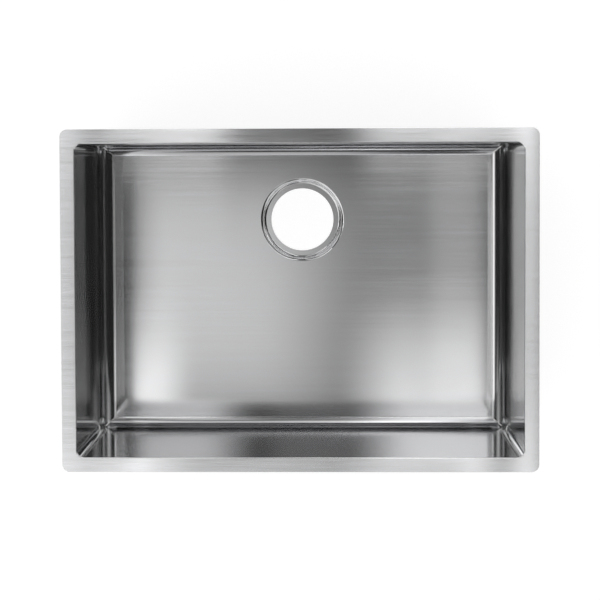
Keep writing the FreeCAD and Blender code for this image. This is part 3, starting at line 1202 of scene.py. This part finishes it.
    def backdrop(self, board: NodeBoard, direction: bpy.types.Node) -> Socket:
        """Gives the white backdrop, which fades overhead and has dark flags in line with the bowl's coves.

        Args:
            board: The world's nodes.
            direction: The node that gives the direction's parts.

        Returns:
            The backdrop's strength.
        """
        across, along, upward = (direction.outputs[axis] for axis in "XYZ")
        white = board.spread(upward, 1.0, self.sky_tone, self.sky_fade)
        lifted = board.spread(upward, 0.0, 1.0, self.flag_foot)
        sides = board.math("MULTIPLY", self.field(board, along, self.side_flags_along),
                           board.spread(board.math("ABSOLUTE", across), 0.0, 1.0, self.side_flags_out))
        front = board.math("MULTIPLY", self.field(board, across, self.front_flag_across),
                           board.spread(along, 1.0, 0.0, self.front_flag_out))
        flags = board.math("MULTIPLY", board.math("MAXIMUM", sides, front), lifted)
        unflagged = board.math("MULTIPLY", white, board.math("SUBTRACT", 1.0, flags))
        return board.math("MAXIMUM", unflagged, self.sky_tone)

    def mirrored_sky(self, board: NodeBoard, direction: bpy.types.Node) -> Socket:
        """Gives what metal shows of the sky: the lamps overhead and the backdrop round about.

        Args:
            board: The world's nodes.
            direction: The node that gives the direction's parts.

        Returns:
            The sky's strength.
        """
        upward = board.math("MAXIMUM", direction.outputs["Z"], self.lowest_rise)
        lean_x = board.math("DIVIDE", direction.outputs["X"], upward)
        lean_y = board.math("DIVIDE", direction.outputs["Y"], upward)
        total = self.backdrop(board, direction)
        for lamp in self.lamps:
            share = board.math("MULTIPLY", self.field(board, lean_x, lamp.along_x),
                               self.field(board, lean_y, lamp.along_y))
            total = board.math("ADD", total, board.math("MULTIPLY", share, self.lamp_light * lamp.level))
        return total

    def room(self, board: NodeBoard, facing: Socket) -> Socket:
        """Gives the light that falls on matt surfaces: even, and stronger from the key's side.

        Args:
            board: The world's nodes.
            facing: The direction as a vector.

        Returns:
            The light's strength.
        """
        towards = board.add("ShaderNodeVectorMath", operation="DOT_PRODUCT")
        board.join(facing, towards.inputs[0])
        towards.inputs[1].default_value = self.key_direction
        key = board.math("MULTIPLY", board.math("MAXIMUM", towards.outputs["Value"], 0.0), self.key_light)
        return board.math("ADD", key, self.room_light)

    def build_sky(self) -> None:
        """Makes the world: white to the camera, lamps in the metal, soft light for matt surfaces."""
        world = bpy.data.worlds.new("sky")
        bpy.context.scene.world = world
        world.use_nodes = True
        board = NodeBoard(world.node_tree)
        output = board.add("ShaderNodeOutputWorld")
        back = board.add("ShaderNodeBackground")
        back.inputs["Color"].default_value = (1.0, 1.0, 1.0, 1.0)
        path = board.add("ShaderNodeLightPath")
        facing = board.add("ShaderNodeTexCoord").outputs["Generated"]
        direction = board.add("ShaderNodeSeparateXYZ")
        board.join(facing, direction.inputs[0])
        mirrored = board.math("MULTIPLY", self.mirrored_sky(board, direction), path.outputs["Is Glossy Ray"])
        white = board.math("MAXIMUM", path.outputs["Is Camera Ray"], path.outputs["Is Transmission Ray"])
        soft = board.math("MULTIPLY", self.room(board, facing), path.outputs["Is Diffuse Ray"])
        strength = board.math("MAXIMUM", board.math("MAXIMUM", white, mirrored), soft)
        board.join(strength, back.inputs["Strength"])
        board.join(back.outputs[0], output.inputs["Surface"])

    def build_camera(self) -> None:
        """Places the camera above the bowl and makes it the scene's."""
        lens = bpy.data.cameras.new("camera")
        lens.lens = self.camera_lens_mm
        lens.sensor_width = self.camera_sensor_mm
        lens.shift_x, lens.shift_y = self.camera_shift
        camera = show("camera", lens)
        camera.location = self.camera_place
        camera.rotation_euler = Euler([math.radians(turn) for turn in self.camera_turn_deg], "XYZ")
        bpy.context.scene.camera = camera


def main() -> None:
    """Builds and dresses everything, and lays the floor at the CAD parts' lowest point."""
    logging.basicConfig(level=logging.INFO, format="%(name)s: %(message)s")
    cad_low, cad_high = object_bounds()
    bpy.context.scene.view_settings.view_transform = "Standard"
    dress(["rim_flange"], STEEL_FLANGE)
    dress(["floor_pan"], STEEL_FLOOR)
    dress(["front_wall", "rear_wall"], STEEL_WALL)
    dress(["left_end", "right_end"], STEEL_END)
    dress([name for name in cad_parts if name.startswith("corner_")], STEEL_CORNER)
    dress(["undercoat"], COAT)
    SoundPads().build()
    ClipHardware().build()
    FlangeWeld().build()
    CornerSeams().build()
    Studio().build(cad_low.z)


if __name__ == "__main__":
    main()
